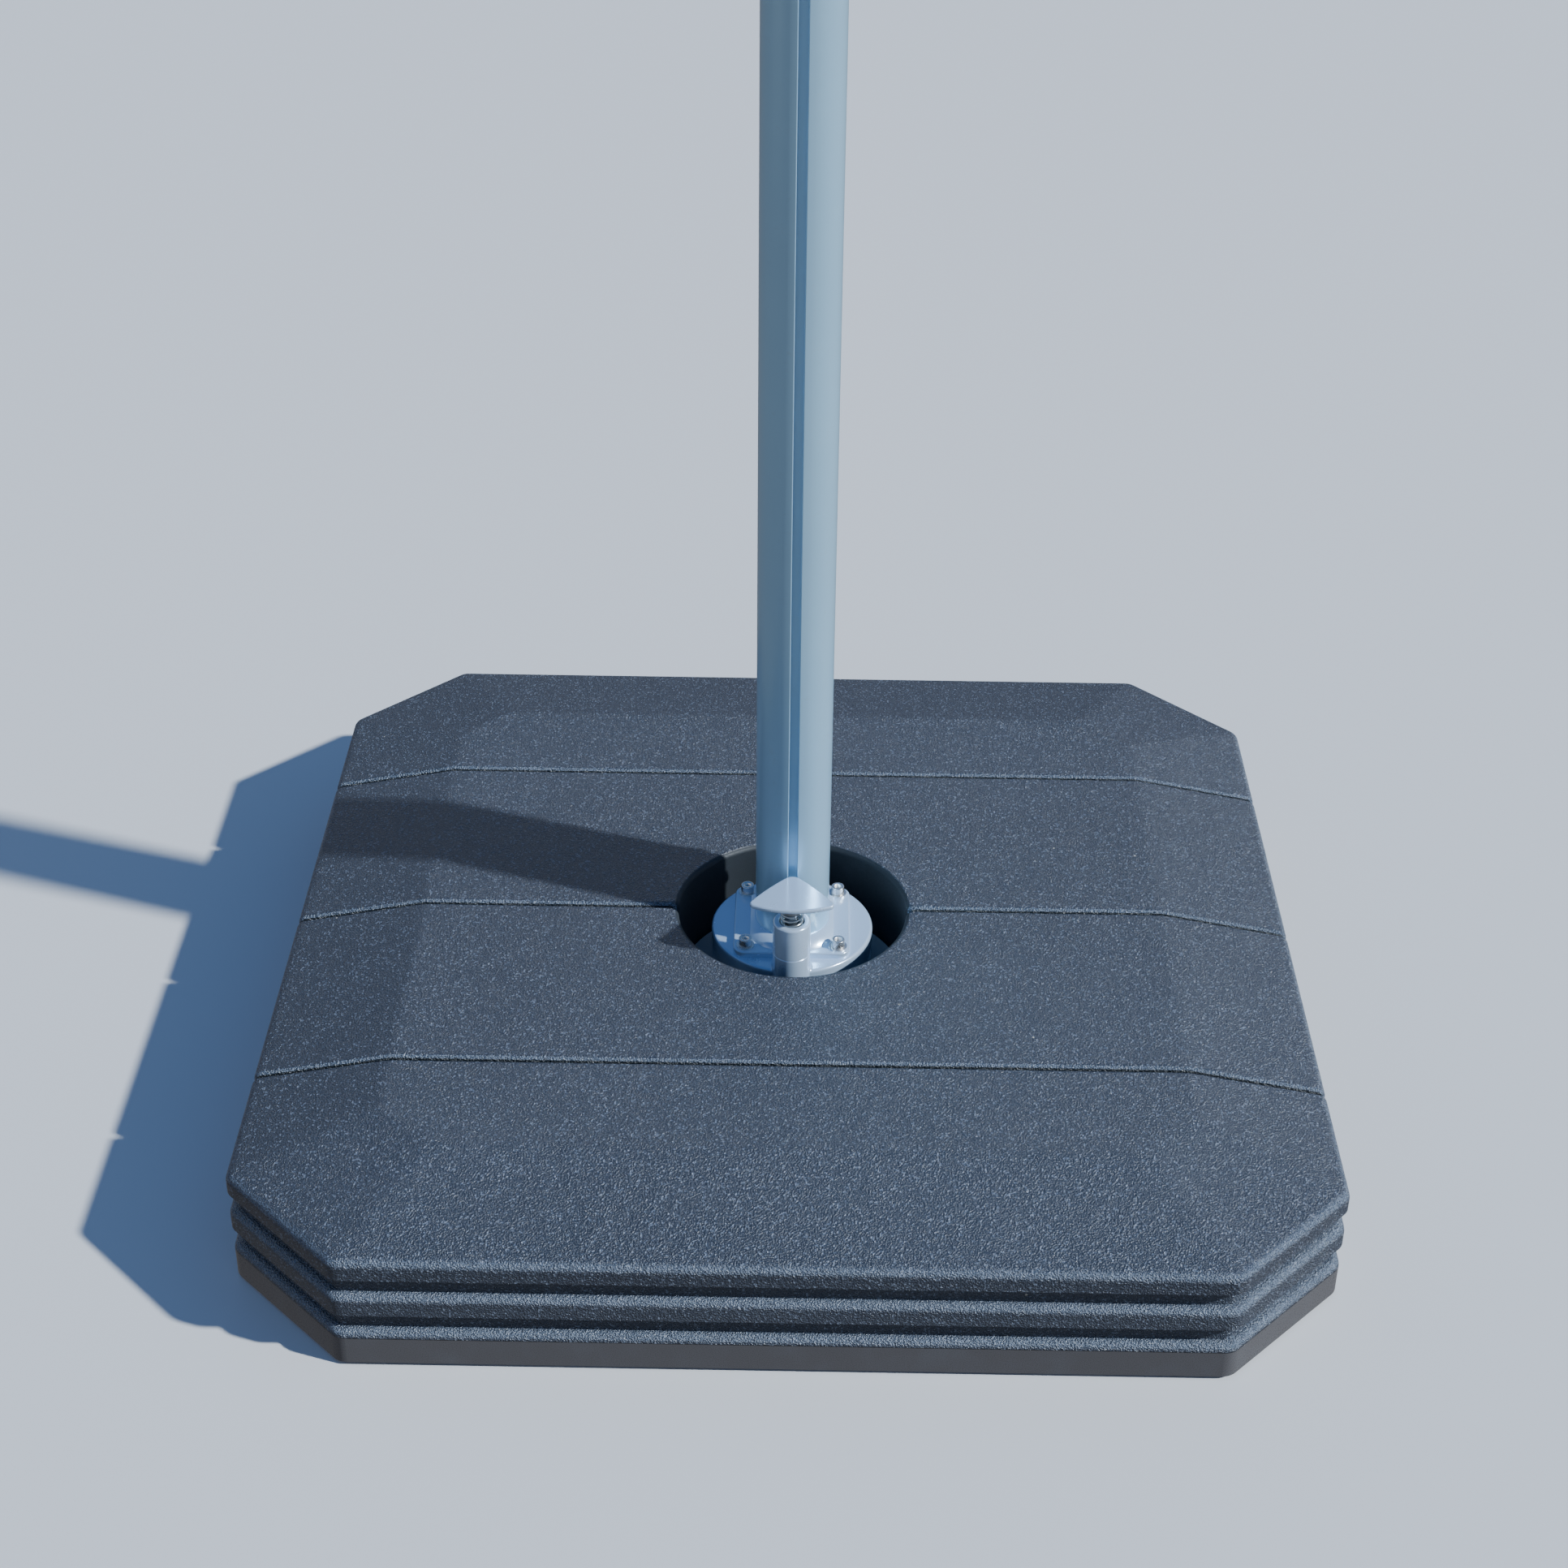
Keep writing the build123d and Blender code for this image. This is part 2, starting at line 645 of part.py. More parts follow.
# Turntable: an inverted cup over the brake, with a cast boss for the pedal
bush_radius = spindle_radius + running_clearance + bush_wall
with BuildPart() as turntable_housing:
    with BuildSketch(Plane.XY.offset(skirt_bottom)):
        Circle(turntable_radius)
    extrude(amount=turntable_top - skirt_bottom)
    with BuildSketch(Plane.XY.offset(skirt_bottom)):
        Circle(turntable_radius - skirt_wall)
    extrude(amount=turntable_bottom - skirt_bottom, mode=Mode.SUBTRACT)
    with BuildSketch(Plane.XY.offset(skirt_bottom)):
        with Locations(stem_place):
            Circle(boss_radius)
    extrude(amount=boss_top - skirt_bottom)
    top_edges = turntable_housing.edges().filter_by(lambda e: is_level(e, turntable_top))
    rim_arc = top_edges.filter_by(lambda e: abs(from_axis(e) - turntable_radius) < small)
    fillet(rim_arc, radius=turntable_edge_radius)
    root_arc = turntable_housing.edges().filter_by(
        lambda e: is_level(e, turntable_top) and from_axis(e) < turntable_radius - turntable_edge_radius)
    fillet(root_arc, radius=boss_fillet)
    with BuildSketch(Plane.XY.offset(skirt_bottom)):
        Circle(turntable_radius - skirt_wall)
        with Locations(stem_place):
            Circle(chamber_radius)
        with Locations((0, -pedal_offset + chamber_radius / 2)):
            Rectangle(2 * chamber_radius, chamber_radius)
    extrude(amount=chamber_top - skirt_bottom, mode=Mode.SUBTRACT)
    with BuildSketch(Plane.XY.offset(chamber_top)):
        with Locations(stem_place):
            Circle(guide_radius)
    extrude(amount=boss_top - chamber_top, mode=Mode.SUBTRACT)
    with BuildSketch(Plane.XY.offset(turntable_bottom)):
        Circle(bush_radius)
    extrude(amount=turntable_thickness, mode=Mode.SUBTRACT)
    with BuildSketch(Plane.XY.offset(turntable_top)):
        with Locations(*flange_screw_places):
            Circle(flange_screw_radius)
    extrude(amount=-flange_screw_depth, mode=Mode.SUBTRACT)
    boss_edges = turntable_housing.edges().filter_by(lambda e: is_level(e, boss_top))
    chamfer(boss_edges.sort_by(SortBy.LENGTH)[-1], length=seam_chamfer)
turntable_housing.part.label = "turntable_housing"
export_step(turntable_housing.part, "parts/turntable_housing.step")

with BuildPart() as spindle_bush:
    with BuildSketch(Plane.XY.offset(turntable_bottom)):
        Circle(bush_radius)
        Circle(spindle_radius + running_clearance, mode=Mode.SUBTRACT)
    extrude(amount=turntable_thickness)
spindle_bush.part.label = "spindle_bush"
export_step(spindle_bush.part, "parts/spindle_bush.step")

with BuildPart() as spindle_washer:
    with BuildSketch(Plane.XY.offset(turntable_top)):
        Circle(spindle_washer_radius)
        Circle(spindle_radius + running_clearance, mode=Mode.SUBTRACT)
    extrude(amount=spindle_washer_thickness)
spindle_washer.part.label = "spindle_washer"
export_step(spindle_washer.part, "parts/spindle_washer.step")

# Collar's flare: swept round in front of the mast and carried straight along its sides
with BuildPart() as collar_flare:
    with BuildSketch(Plane.XZ.offset(-mast_nose)) as flare:
        with BuildLine():
            foot = (mast_radius + collar_nose, flange_top)
            lip = (mast_radius + collar_lip, mast_bottom)
            RadiusArc(foot, lip, -2 * (collar_nose - collar_lip))
            Polyline(lip, (flange_bore, mast_bottom), (flange_bore, flange_top), foot)
        make_face()
        mirror(about=Plane.YZ)
    extrude(amount=-mast_flat)
    revolve(flare.sketch.faces()[0], axis=Axis((0, mast_nose, 0), (0, 0, 1)))
    flare_length = mast_flat + mast_radius + collar_nose
    with Locations((0, mast_nose + mast_flat - flare_length / 2, flange_top + collar_height / 2)):
        Box(2 * (mast_radius + collar_side), flare_length, collar_height, mode=Mode.INTERSECT)

# Mast flange: square plate, collar and the spigot inside the mast
with BuildPart() as mast_flange:
    with BuildSketch(Plane.XY.offset(turntable_top)):
        RectangleRounded(flange_width, flange_width, flange_corner_radius)
        with Locations(stem_place):
            Circle(boss_radius + boss_fillet + boss_gap, mode=Mode.SUBTRACT)
    extrude(amount=flange_thickness)
    plate_rim = mast_flange.edges().filter_by(lambda e: is_level(e, flange_top))
    fillet(plate_rim, radius=flange_edge_radius)
    with BuildSketch(Plane.XY.offset(turntable_top)):
        draw_oblong(-collar_lip)
    extrude(amount=flange_thickness + collar_height)
    add(collar_flare.part)
    with BuildSketch(Plane.XY.offset(flange_top)):
        with Locations(stem_place):
            Circle(boss_radius + boss_gap)
    extrude(amount=collar_height, mode=Mode.SUBTRACT)
    with BuildSketch(Plane.XY.offset(mast_bottom)):
        draw_oblong(spigot_inset)
    extrude(amount=spigot_length)
    with BuildSketch(Plane.XY.offset(turntable_top)):
        Circle(flange_bore)
    extrude(amount=flange_thickness + collar_height, mode=Mode.SUBTRACT)
    with BuildSketch(Plane.XY.offset(mast_bottom)):
        draw_oblong(spigot_inset + spigot_wall)
        with Locations((0, mast_front + groove_box_depth / 2)):
            Rectangle(groove_box_width + 2 * groove_relief, groove_box_depth + 2 * groove_relief)
    extrude(amount=spigot_length, mode=Mode.SUBTRACT)
    with BuildSketch(Plane.XY.offset(turntable_top)):
        with Locations(*flange_screw_places):
            Circle(flange_screw_radius + screw_hole_clearance)
    extrude(amount=flange_thickness, mode=Mode.SUBTRACT)
    with BuildSketch(Plane.XZ):
        with Locations(*[(0, mast_bottom + h) for h in mast_screw_heights]):
            Circle(mast_screw_radius)
    extrude(amount=-mast_back, mode=Mode.SUBTRACT)
mast_flange.part.label = "mast_flange"
export_step(mast_flange.part, "parts/mast_flange.step")

with BuildPart() as flange_washers:
    with BuildSketch(Plane.XY.offset(flange_top)):
        with Locations(*flange_screw_places):
            Circle(flange_washer_radius)
            Circle(flange_screw_radius + screw_hole_clearance, mode=Mode.SUBTRACT)
    extrude(amount=flange_washer_thickness)
flange_washers.part.label = "flange_washers"
export_step(flange_washers.part, "parts/flange_washers.step")

with BuildPart() as flange_screws:
    head_bottom = flange_top + flange_washer_thickness
    with BuildSketch(Plane.XY.offset(turntable_top - flange_screw_depth)):
        with Locations(*flange_screw_places):
            Circle(flange_screw_radius)
    extrude(amount=head_bottom - turntable_top + flange_screw_depth)
    with BuildSketch(Plane.XY.offset(head_bottom)):
        with Locations(*flange_screw_places):
            Circle(flange_screw_head_radius)
    extrude(amount=flange_screw_head_height)
    head_top = head_bottom + flange_screw_head_height
    fillet(flange_screws.edges().filter_by(lambda e: is_level(e, head_top)),
           radius=flange_screw_head_height / 10)
    with BuildSketch(Plane.XY.offset(head_top)):
        with Locations(*flange_screw_places):
            RegularPolygon(flange_screw_socket / 2, 6, major_radius=False)
    extrude(amount=-flange_screw_socket_depth, mode=Mode.SUBTRACT)
flange_screws.part.label = "flange_screws"
export_step(flange_screws.part, "parts/flange_screws.step")

# Mast: oblong profile with one square groove down its front
with BuildPart() as mast:
    with BuildSketch(Plane.XY.offset(mast_bottom)):
        draw_oblong(0)
        draw_oblong(mast_wall, Mode.SUBTRACT)
        with BuildSketch():
            with Locations((0, mast_front + groove_box_depth / 2)):
                Rectangle(groove_box_width, groove_box_depth)
            draw_oblong(0, Mode.INTERSECT)
        with Locations((0, mast_front + mast_groove_depth / 2 - mast_groove_wall / 2)):
            Rectangle(mast_groove_width, mast_groove_depth + mast_groove_wall, mode=Mode.SUBTRACT)
    extrude(amount=mast_top - mast_bottom)
    lips = mast.edges().filter_by(Axis.Z).filter_by(
        lambda e: e.center().Y < mast_front + mast_groove_wall / 2
        and abs(abs(e.center().X) - mast_groove_width / 2) < small)
    fillet(lips, radius=mast_groove_lip_radius)
    screw_seats = Plane.XZ.offset(-(mast_back - mast_screw_seat))
    with BuildSketch(screw_seats):
        with Locations(*[(0, mast_bottom + h) for h in mast_screw_heights]):
            Circle(mast_screw_head_radius)
    extrude(amount=-mast_screw_seat, mode=Mode.SUBTRACT)
    with BuildSketch(Plane.XZ):
        with Locations(*[(0, mast_bottom + h) for h in mast_screw_heights]):
            Circle(mast_screw_radius + screw_hole_clearance)
    extrude(amount=-mast_back, mode=Mode.SUBTRACT)
mast.part.label = "mast"
export_step(mast.part, "parts/mast.step")

with BuildPart() as mast_screws:
    with BuildSketch(screw_seats):
        with Locations(*[(0, mast_bottom + h) for h in mast_screw_heights]):
            Circle(mast_screw_head_radius)
    extrude(amount=-mast_screw_head_height)
    crown = mast_screws.edges().sort_by(Axis.Y)[-len(mast_screw_heights):]
    fillet(crown, radius=mast_screw_head_height / 2)
    with BuildSketch(screw_seats):
        with Locations(*[(0, mast_bottom + h) for h in mast_screw_heights]):
            Circle(mast_screw_radius)
    extrude(amount=spigot_inset + spigot_wall - mast_screw_seat)
    with BuildSketch(screw_seats.offset(-mast_screw_head_height)):
        with Locations(*[(0, mast_bottom + h) for h in mast_screw_heights]):
            RegularPolygon(mast_screw_socket / 2, 6, major_radius=False)
    extrude(amount=mast_screw_head_height / 2, mode=Mode.SUBTRACT)
mast_screws.part.label = "mast_screws"
export_step(mast_screws.part, "parts/mast_screws.step")

with BuildPart() as mast_top_liner:
    with BuildSketch(Plane.XY.offset(mast_top)):
        draw_oblong(0)
    extrude(amount=liner_rim)
    with BuildSketch(Plane.XY.offset(mast_top - liner_length)):
        draw_oblong(mast_wall + liner_fit)
        with Locations((0, mast_front + groove_box_depth / 2)):
            Rectangle(groove_box_width + 2 * groove_relief, groove_box_depth + 2 * groove_relief,
                      mode=Mode.SUBTRACT)
    extrude(amount=liner_length)
    rim_edges = mast_top_liner.edges().filter_by(lambda e: is_level(e, mast_top + liner_rim))
    fillet(rim_edges, radius=liner_rim / 3)
    with BuildSketch(Plane.XY.offset(mast_top - liner_length)):
        with Locations((0, mast_setback)):
            Circle(liner_bore)
    extrude(amount=liner_length + liner_rim, mode=Mode.SUBTRACT)
mast_top_liner.part.label = "mast_top_liner"
export_step(mast_top_liner.part, "parts/mast_top_liner.step")

# Release pedal: guide and sleeve on the turntable, stem and claw that move
with BuildPart() as pedal_sleeve:
    with BuildSketch(Plane.XY.offset(boss_top)):
        with Locations(stem_place):
            Circle(boss_radius)
            Circle(sleeve_bore, mode=Mode.SUBTRACT)
    extrude(amount=sleeve_length)
    mouth = pedal_sleeve.edges().filter_by(lambda e: is_level(e, sleeve_top)).sort_by(SortBy.LENGTH)
    fillet(mouth[-1], radius=sleeve_edge_radius)
    fillet(mouth[0], radius=sleeve_mouth_radius)
    sleeve_foot = pedal_sleeve.edges().filter_by(lambda e: is_level(e, boss_top))
    chamfer(sleeve_foot.sort_by(SortBy.LENGTH)[-1], length=seam_chamfer)
pedal_sleeve.part.label = "pedal_sleeve"
export_step(pedal_sleeve.part, "parts/pedal_sleeve.step")

with BuildPart() as stem_guide:
    with BuildSketch(Plane.XY.offset(chamber_top)):
        with Locations(stem_place):
            Circle(guide_radius)
    extrude(amount=boss_top - chamber_top)
    with BuildSketch(Plane.XY.offset(boss_top)):
        with Locations(stem_place):
            Circle(guide_flange_radius)
    extrude(amount=guide_flange_height)
    with BuildSketch(Plane.XY.offset(chamber_top)):
        with Locations(stem_place):
            Circle(stem_radius + running_clearance)
    extrude(amount=spring_seat - chamber_top, mode=Mode.SUBTRACT)
stem_guide.part.label = "stem_guide"
export_step(stem_guide.part, "parts/stem_guide.step")

with BuildPart() as pedal_spring:
    with BuildLine(Plane((0, -pedal_offset, spring_seat + spring_wire / 2))):
        coil_height = spring_height - spring_wire
        coil = Helix(coil_height / spring_turns, coil_height, spring_radius)
    with BuildSketch(Plane(origin=coil @ 0, z_dir=coil % 0)):
        Circle(spring_wire / 2)
    sweep(path=coil, is_frenet=True)
pedal_spring.part.label = "pedal_spring"
export_step(pedal_spring.part, "parts/pedal_spring.step")

with BuildPart() as pedal_stem:
    with BuildSketch(Plane.XY.offset(claw_top)):
        with Locations(stem_place):
            Circle(stem_radius)
    extrude(amount=pedal_bottom - claw_top)
    with BuildSketch(Plane.XY.offset(claw_top)):
        with Locations(stem_place):
            Circle(stem_thread_radius)
    extrude(amount=-claw_thickness - stem_nut_height)
pedal_stem.part.label = "pedal_stem"
export_step(pedal_stem.part, "parts/pedal_stem.step")

with BuildPart() as stem_collar:
    with BuildSketch(Plane.XY.offset(spring_seat + spring_height)):
        with Locations(stem_place):
            Circle(stem_collar_radius)
            Circle(stem_radius, mode=Mode.SUBTRACT)
    extrude(amount=pedal_bottom - spring_seat - spring_height)
stem_collar.part.label = "stem_collar"
export_step(stem_collar.part, "parts/stem_collar.step")

with BuildPart() as pedal_plate:
    with BuildSketch(Plane((0, -pedal_offset, pedal_bottom))) as pedal_outline:
        left, right = (-pedal_width / 2, -pedal_shoulder), (pedal_width / 2, -pedal_shoulder)
        tip = (0, pedal_tip)
        with BuildLine():
            ThreePointArc(left, (0, -pedal_front), right)
            SagittaArc(right, tip, -pedal_side_bulge)
            SagittaArc(tip, left, -pedal_side_bulge)
        make_face()
        fillet(pedal_outline.vertices().sort_by(Axis.Y)[:2], radius=pedal_corner_radius)
        fillet(pedal_outline.vertices().sort_by(Axis.Y)[-1], radius=pedal_tip_radius)
    extrude(amount=pedal_thickness)
    fillet(pedal_plate.edges().filter_by(lambda e: is_level(e, e.position_at(0).Z)),
           radius=pedal_edge_radius)
pedal_plate.part.label = "pedal_plate"
export_step(pedal_plate.part, "parts/pedal_plate.step")

# Brake claw: hooks in under the fixed disc and is pulled up against it
with BuildPart() as brake_claw:
    with BuildSketch(Plane.XY.offset(claw_bottom)):
        with Locations(stem_place):
            Circle(claw_width / 2)
        with Locations((0, -pedal_offset + claw_reach / 2)):
            Rectangle(claw_width, claw_reach)
        with Locations(stem_place):
            Circle(stem_thread_radius, mode=Mode.SUBTRACT)
    extrude(amount=claw_thickness)
brake_claw.part.label = "brake_claw"
export_step(brake_claw.part, "parts/brake_claw.step")

with BuildPart() as friction_pad:
    with BuildSketch(Plane.XY.offset(claw_top)):
        with Locations((0, -pedal_offset + claw_reach - pad_margin - pad_run / 2)):
            Rectangle(pad_width, pad_run)
    extrude(amount=pad_thickness)
friction_pad.part.label = "friction_pad"
export_step(friction_pad.part, "parts/friction_pad.step")

with BuildPart() as stem_nut:
    with BuildSketch(Plane.XY.offset(claw_bottom - stem_nut_height)):
        with Locations(stem_place):
            RegularPolygon(stem_nut_flats / 2, 6, major_radius=False)
            Circle(stem_thread_radius, mode=Mode.SUBTRACT)
    extrude(amount=stem_nut_height)
stem_nut.part.label = "stem_nut"
export_step(stem_nut.part, "parts/stem_nut.step")
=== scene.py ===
import json
import math
import bmesh
import bpy
from mathutils import Matrix, Vector


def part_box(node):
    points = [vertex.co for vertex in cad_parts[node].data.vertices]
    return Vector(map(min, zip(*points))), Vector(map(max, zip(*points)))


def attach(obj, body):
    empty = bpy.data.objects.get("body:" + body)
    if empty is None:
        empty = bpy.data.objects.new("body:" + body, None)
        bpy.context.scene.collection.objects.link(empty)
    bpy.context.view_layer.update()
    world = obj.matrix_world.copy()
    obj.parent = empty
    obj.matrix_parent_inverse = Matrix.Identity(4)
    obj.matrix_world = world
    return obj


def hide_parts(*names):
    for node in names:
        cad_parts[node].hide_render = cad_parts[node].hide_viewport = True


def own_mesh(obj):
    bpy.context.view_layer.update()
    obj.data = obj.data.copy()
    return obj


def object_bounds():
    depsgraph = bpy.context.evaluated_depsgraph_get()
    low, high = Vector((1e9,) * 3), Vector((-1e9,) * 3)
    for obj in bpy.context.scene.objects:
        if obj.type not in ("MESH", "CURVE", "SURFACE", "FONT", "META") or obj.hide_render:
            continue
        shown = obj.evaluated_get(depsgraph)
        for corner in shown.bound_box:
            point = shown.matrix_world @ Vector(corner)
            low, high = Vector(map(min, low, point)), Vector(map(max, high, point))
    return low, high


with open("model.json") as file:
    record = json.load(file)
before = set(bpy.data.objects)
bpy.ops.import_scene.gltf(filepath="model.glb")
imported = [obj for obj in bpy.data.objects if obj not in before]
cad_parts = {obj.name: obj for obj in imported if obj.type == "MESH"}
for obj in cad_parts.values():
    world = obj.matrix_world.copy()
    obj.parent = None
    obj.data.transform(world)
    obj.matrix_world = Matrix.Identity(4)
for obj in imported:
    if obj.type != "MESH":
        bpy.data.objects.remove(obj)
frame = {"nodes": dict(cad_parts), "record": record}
cadLow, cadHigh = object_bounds()
print("frame loaded with", len(frame["nodes"]), "nodes")


# The camera stands in front of the pedal and looks down on the base
cameraSettings = {
    "place": (0.0077, -2.1784, 1.6899),
    "pitch": 32.696,     # degrees below level
    "yaw": 0.457,
    "roll": 0.629,
    "lens": 60.965,      # millimetres
    "sensor": 36.0,
}


def makeCamera(settings):
    pitch, yaw, roll = (math.radians(settings[key]) for key in ("pitch", "yaw", "roll"))
    side = Vector((math.cos(yaw), math.sin(yaw), 0))
    ahead = Vector((-math.sin(yaw), math.cos(yaw), 0))
    up = Vector((0, 0, 1))
    look = ahead * math.cos(pitch) - up * math.sin(pitch)
    top = up * math.cos(pitch) + ahead * math.sin(pitch)
    right = side * math.cos(roll) + top * math.sin(roll)
    top = top * math.cos(roll) - side * math.sin(roll)
    data = bpy.data.cameras.new("camera")
    data.sensor_width = settings["sensor"]
    data.lens = settings["lens"]
    camera = bpy.data.objects.new("camera", data)
    bpy.context.scene.collection.objects.link(camera)
    turn = Matrix((right, top, -look)).transposed().to_4x4()
    camera.matrix_world = Matrix.Translation(settings["place"]) @ turn
    bpy.context.scene.camera = camera


makeCamera(cameraSettings)
print("camera placed")


class Flow:
    # A value on its way through a material's nodes, so that shader maths reads as Python
    def __init__(self, finish, socket):
        self.finish = finish
        self.socket = socket

    def by(self, operation, other, flipped=False):
        first, second = (other, self) if flipped else (self, other)
        return self.finish.node("ShaderNodeMath", {"operation": operation}, {0: first, 1: second})

    def __add__(self, other):
        return self.by("ADD", other)

    def __radd__(self, other):
        return self.by("ADD", other, True)

    def __sub__(self, other):
        return self.by("SUBTRACT", other)

    def __rsub__(self, other):
        return self.by("SUBTRACT", other, True)

    def __mul__(self, other):
        return self.by("MULTIPLY", other)

    def __rmul__(self, other):
        return self.by("MULTIPLY", other, True)

    def __pow__(self, other):
        return self.by("POWER", other)

    def __rpow__(self, other):
        return self.by("POWER", other, True)

    def __gt__(self, other):
        return self.by("GREATER_THAN", other)

    def __lt__(self, other):
        return self.by("LESS_THAN", other)


class Wiring:
    # A node tree, the shader at its end, and the place that its textures are read at
    def __init__(self, tree, shaderName, placeName):
        self.tree = tree
        self.shader = tree.nodes[shaderName]
        self.place = self.node("ShaderNodeTexCoord", {}, {}, placeName)

    def node(self, kind, settings, inputs, out=0):
        made = self.tree.nodes.new(kind)
        for key, value in settings.items():
            if key == "stops":
                ramp = made.color_ramp
                while len(ramp.elements) < len(value):
                    ramp.elements.new(1.0)
                for element, (position, colour) in zip(ramp.elements, value):
                    element.position = position
                    element.color = (*colour, 1)
            else:
                setattr(made, key, value)
        for key, value in inputs.items():
            self.feed(made.inputs[key], value)
        return Flow(self, made.outputs[out])

    def feed(self, socket, value):
        if isinstance(value, Flow):
            self.tree.links.new(value.socket, socket)
        else:
            socket.default_value = value

    def set(self, name, value):
        self.feed(self.shader.inputs[name], value)

    def axis(self, name):
        return self.node("ShaderNodeSeparateXYZ", {}, {0: self.place}, name)


class Finish(Wiring):
    # A material with one Principled shader, and the textures that feed it
    def __init__(self, name, **settings):
        self.material = bpy.data.materials.new(name)
        self.material.use_nodes = True
        super().__init__(self.material.node_tree, "Principled BSDF", "Object")
        for key, value in settings.items():
            self.shader.inputs[key.replace("_", " ")].default_value = value

    def noise(self, scale, detail=2.0, rough=0.5):
        return self.node("ShaderNodeTexNoise", {}, {
            "Vector": self.place, "Scale": scale, "Detail": detail, "Roughness": rough}, 0)

    def cells(self, scale, out="Distance", feature="F1", soft=0.0):
        inputs = {"Vector": self.place, "Scale": scale}
        if feature == "SMOOTH_F1":
            inputs["Smoothness"] = soft
        return self.node("ShaderNodeTexVoronoi", {"feature": feature}, inputs, out)

    def step(self, value, low, high):
        # 0 below low, 1 above high, smooth between
        return self.node("ShaderNodeMapRange", {"interpolation_type": "SMOOTHSTEP"}, {
            "Value": value, "From Min": low, "From Max": high}, 0)

    def mix(self, share, first, second):
        kind = {"data_type": "RGBA", "clamp_factor": True}
        colours = [tuple(c) + (1,) if isinstance(c, tuple) and len(c) == 3 else c
                   for c in (first, second)]
        return self.node("ShaderNodeMix", kind, {0: share, 6: colours[0], 7: colours[1]}, 2)

    def bump(self, height, distance, strength=1.0, under=None):
        inputs = {"Height": height, "Distance": distance, "Strength": strength}
        if under is not None:
            inputs["Normal"] = under
        return self.node("ShaderNodeBump", {}, inputs, 0)


# Daylight studio: a key from the right, a dome pale at the horizon, a low warm fill on the left
lightSettings = {
    "keyAzimuth": -17.7,     # degrees round from +X, towards the front
    "keyHeight": 35.0,
    "keySpread": 2.0,
    "keyStrength": 5.7,
    "keyColour": (0.87, 0.94, 1.0),
    "skyStops": [            # from straight down at 0 to straight up at 1
        (0.485, (0.17, 0.165, 0.165)),
        (0.500, (0.62, 0.64, 0.66)),
        (0.570, (0.50, 0.54, 0.60)),
        (0.680, (0.16, 0.24, 0.39)),
        (0.850, (0.035, 0.115, 0.31)),
    ],
    "fillPlace": (-2.6, -0.9, 1.1),
    "fillPower": 2.0,
    "fillSize": 1.6,
    "fillColour": (1.0, 0.9, 0.82),
}


def makeLights(settings):
    azimuth, height = math.radians(settings["keyAzimuth"]), math.radians(settings["keyHeight"])
    toKey = Vector((math.cos(azimuth) * math.cos(height), math.sin(azimuth) * math.cos(height),
                    math.sin(height)))
    keyData = bpy.data.lights.new("keyLight", "SUN")
    keyData.energy = settings["keyStrength"]
    keyData.angle = math.radians(settings["keySpread"])
    keyData.color = settings["keyColour"]
    key = bpy.data.objects.new("keyLight", keyData)
    key.rotation_mode = "QUATERNION"
    key.rotation_quaternion = toKey.to_track_quat("Z", "Y")
    bpy.context.scene.collection.objects.link(key)

    fillData = bpy.data.lights.new("fillLight", "AREA")
    fillData.energy = settings["fillPower"]
    fillData.size = settings["fillSize"]
    fillData.color = settings["fillColour"]
    fill = bpy.data.objects.new("fillLight", fillData)
    fill.location = settings["fillPlace"]
    fill.rotation_mode = "QUATERNION"
    fill.rotation_quaternion = Vector(settings["fillPlace"]).to_track_quat("Z", "Y")
    bpy.context.scene.collection.objects.link(fill)

    world = bpy.data.worlds.new("dome")
    world.use_nodes = True
    dome = Wiring(world.node_tree, "Background", "Generated")
    upward = dome.node("ShaderNodeMapRange", {}, {"Value": dome.axis("Z"), "From Min": -1.0})
    dome.set("Color", dome.node("ShaderNodeValToRGB", {"stops": settings["skyStops"]}, {0: upward}))
    bpy.context.scene.world = world


makeLights(lightSettings)
print("lights placed")


# Moulded anthracite plastic: pebbled grain above, smooth on the lowest band and in the well
slabPlastic = {
    "dark": (0.0205, 0.029, 0.050),
    "light": (0.0265, 0.037, 0.061),
    # dust colour, also used as painted highlight on the pebble tops
    "dust": (0.20, 0.23, 0.27),
    # edge colour: pale flecks of wear and painted highlight on the ridge shoulders and beside the
    # seams
    "edge": (0.22, 0.28, 0.37),
    "glint": (0.29, 0.35, 0.46),
    "speck": (0.62, 0.58, 0.50),
    "foot": (0.108, 0.106, 0.113),
    # colour painted as shade inside the well, in each seam gap and beside the seams
    "hollow": (0.008, 0.014, 0.020),
    "grainScale": 620.0,      # pebbles in a metre
    "shoulders": (0.1175, 0.0785, 0.0375),    # heights of the ridge edges with worn flecks and painted highlight
    "wearAndHighlightInner": 0.0010,      # full wear and painted highlight this near a shoulder's height
    "wearAndHighlightOuter": 0.0042,      # and none beyond this
    "dustyFrom": 0.115,       # the sides grow dustier from here
    "dustyFull": 0.085,       # down to here
    "litTipShare": 0.14,         # how strongly each tone covers the one below it
    "glintShare": 0.46,
    "lowDustShare": 0.09,
    "wearAndHighlightShare": 0.68,
    "seamShadeShare": 0.45,
    "scuffAndHighlightShare": 0.85,
    "seamPitch": 0.25,
    "seamEdge": 0.0026,       # width of the strip beside each seam with painted shade, scuffs and painted highlight
    "grainDepth": 0.0020,
    "roughLow": 0.22,
    "roughHigh": 0.38,
    "smoothBelow": 0.0325,    # the lowest band's smooth face
    "wellRadius": 0.1165,
}


